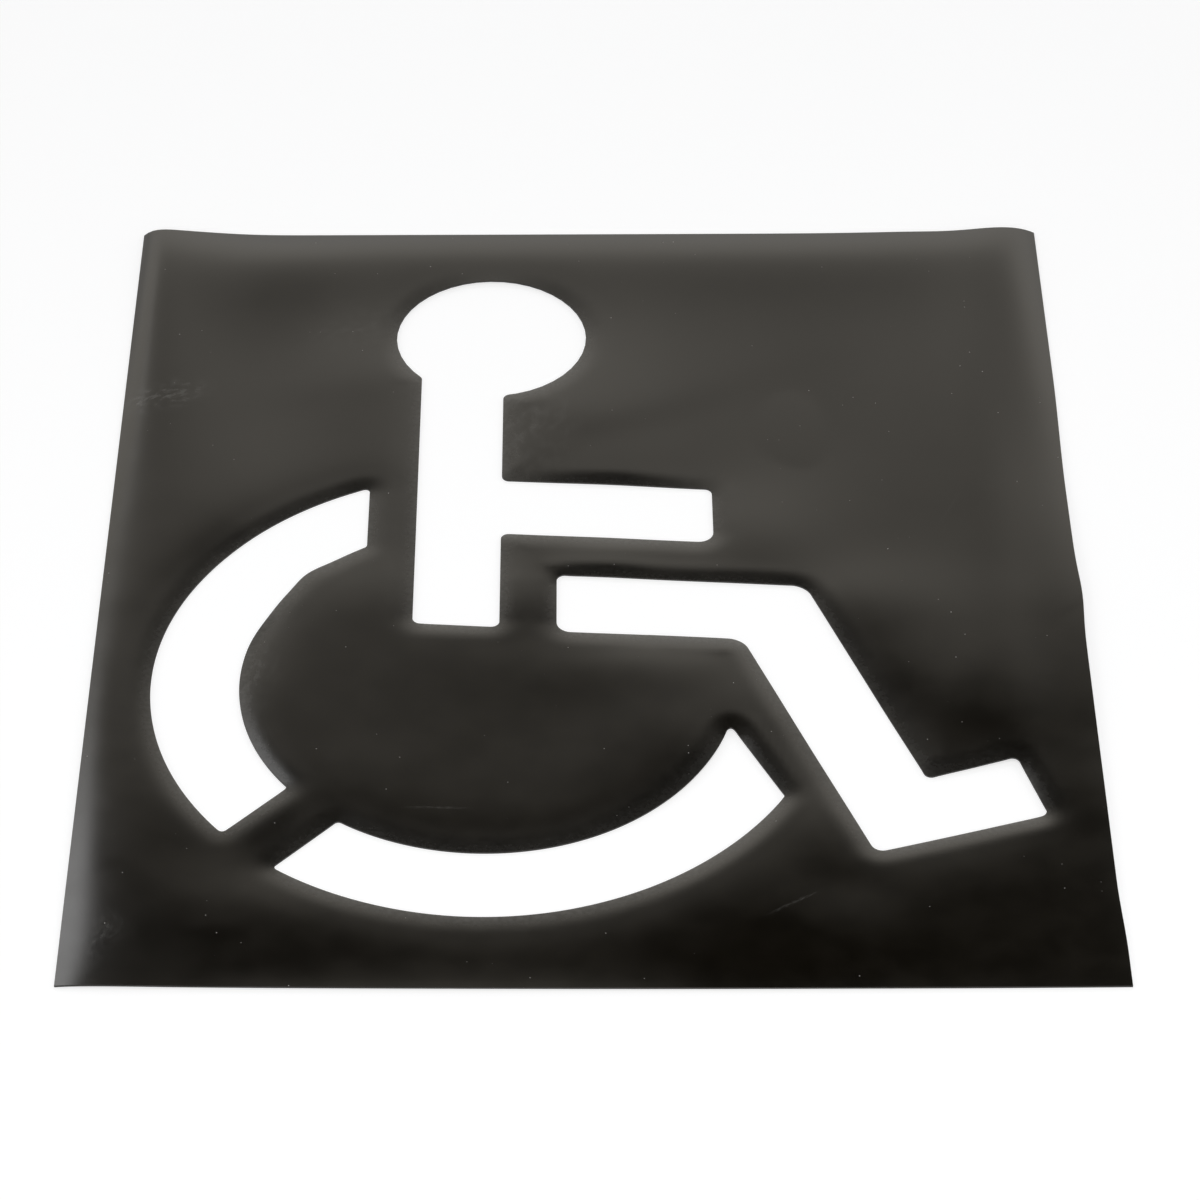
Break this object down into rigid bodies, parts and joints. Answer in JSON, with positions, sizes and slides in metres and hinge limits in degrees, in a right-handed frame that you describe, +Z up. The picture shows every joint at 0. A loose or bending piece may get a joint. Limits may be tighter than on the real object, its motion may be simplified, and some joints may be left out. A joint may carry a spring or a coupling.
{
  "type": "road marking stencil",
  "caption": "Thin black rubber sheet with a wheelchair-access symbol cut right through it, laid flat on a road or parking bay so that paint passes only through the openings.",
  "frame": {"origin": "centre of the sheet's outline, on the road surface under it", "axes": "+Y along the sheet from the wheel to the head of the symbol, +X the way the symbol faces, +Z up out of the road"},
  "size_m": [1, 1.2, 0.008],
  "materials": {
    "rubber": "matt black rubber, slightly dusty"
  },
  "bodies": {
    "root": {"stencil_sheet": "rubber"}
  },
  "joints": []
}
